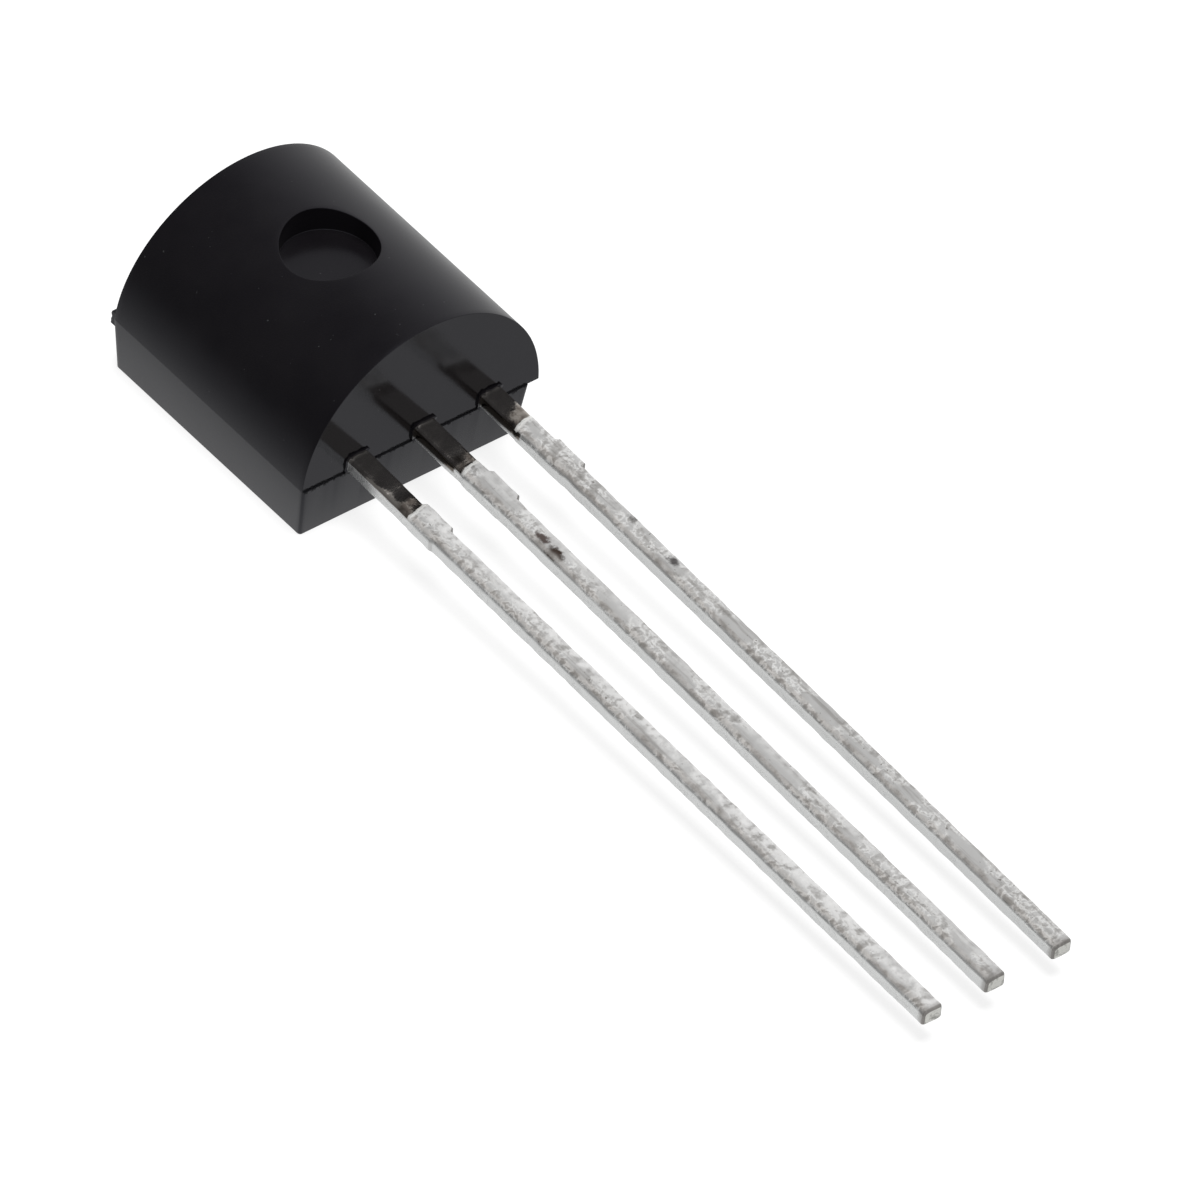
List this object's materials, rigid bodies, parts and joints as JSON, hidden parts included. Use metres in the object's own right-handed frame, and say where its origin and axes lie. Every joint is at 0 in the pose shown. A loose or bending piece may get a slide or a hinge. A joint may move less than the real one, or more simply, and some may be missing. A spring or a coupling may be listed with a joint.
{
  "type": "three-lead plastic-package transistor",
  "caption": "Small through-hole transistor: black moulded case with a flat front and a round back with an ejector recess, and straight tinned leads in a row on one end.",
  "frame": {"origin": "middle of the flat front face, on which the part lies", "axes": "+Z from the flat face towards the round back, -Y along the leads away from the case, X across the row of leads"},
  "size_m": [0.0046, 0.0183, 0.0031],
  "materials": {
    "moulding_compound": "black epoxy moulding compound, satin to glossy from the mould",
    "tinned_lead": "tin plated, mottled, with bare cut ends",
    "silicon": "polished",
    "attach_metal": "sintered",
    "gold_wire": "drawn wire"
  },
  "bodies": {
    "root": {"moulded_case": "moulding_compound", "emitter_lead": "tinned_lead", "collector_lead": "tinned_lead", "base_lead": "tinned_lead", "silicon_die": "silicon", "die_attach": "attach_metal", "base_wire": "gold_wire", "emitter_wire": "gold_wire"}
  },
  "joints": []
}
